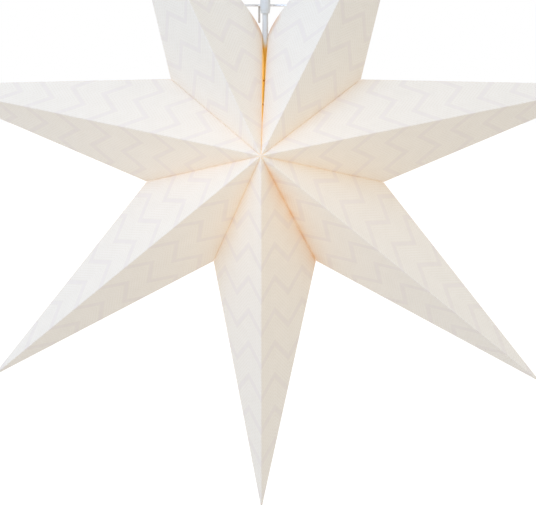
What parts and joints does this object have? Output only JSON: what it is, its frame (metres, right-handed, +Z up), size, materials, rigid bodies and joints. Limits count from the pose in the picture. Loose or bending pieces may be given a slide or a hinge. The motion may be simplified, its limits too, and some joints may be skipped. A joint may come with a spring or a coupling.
{
  "type": "paper advent star",
  "caption": "Folded paper star lantern with hollow tapering points, zigzag bands and a bulb inside, hung on its lamp lead from a ceiling cup.",
  "frame": {"origin": "middle of the ceiling fitting's top face, where it meets the ceiling", "axes": "+Z up, along the lead; -Y towards the viewer, across the star's shortest side; +X to the viewer's right"},
  "size_m": [0.6006, 0.16, 0.6481],
  "materials": {
    "paper": "matte uncoated paper with printed zigzag bands",
    "pins": "satin",
    "wire": "drawn steel wire",
    "white_moulding": "moulded white plastic",
    "lead": "round white lead",
    "insert": "matte",
    "bulb": "frosted",
    "plate": "zinc plated"
  },
  "bodies": {
    "root": {"point_1": "paper", "point_2": "paper", "point_3": "paper", "point_4": "paper", "point_5": "paper", "point_6": "paper", "point_7": "paper", "seam_pins": "pins", "hanger_wire": "wire", "hanger_leg": "wire", "cord_sleeve": "white_moulding", "cord": "lead", "lampholder_cap": "white_moulding", "lampholder_skirt": "white_moulding", "contact_insert": "insert", "bulb": "bulb", "ceiling_plate": "plate", "terminal_block": "white_moulding", "ceiling_cup": "white_moulding", "cup_bush": "white_moulding"}
  },
  "joints": []
}
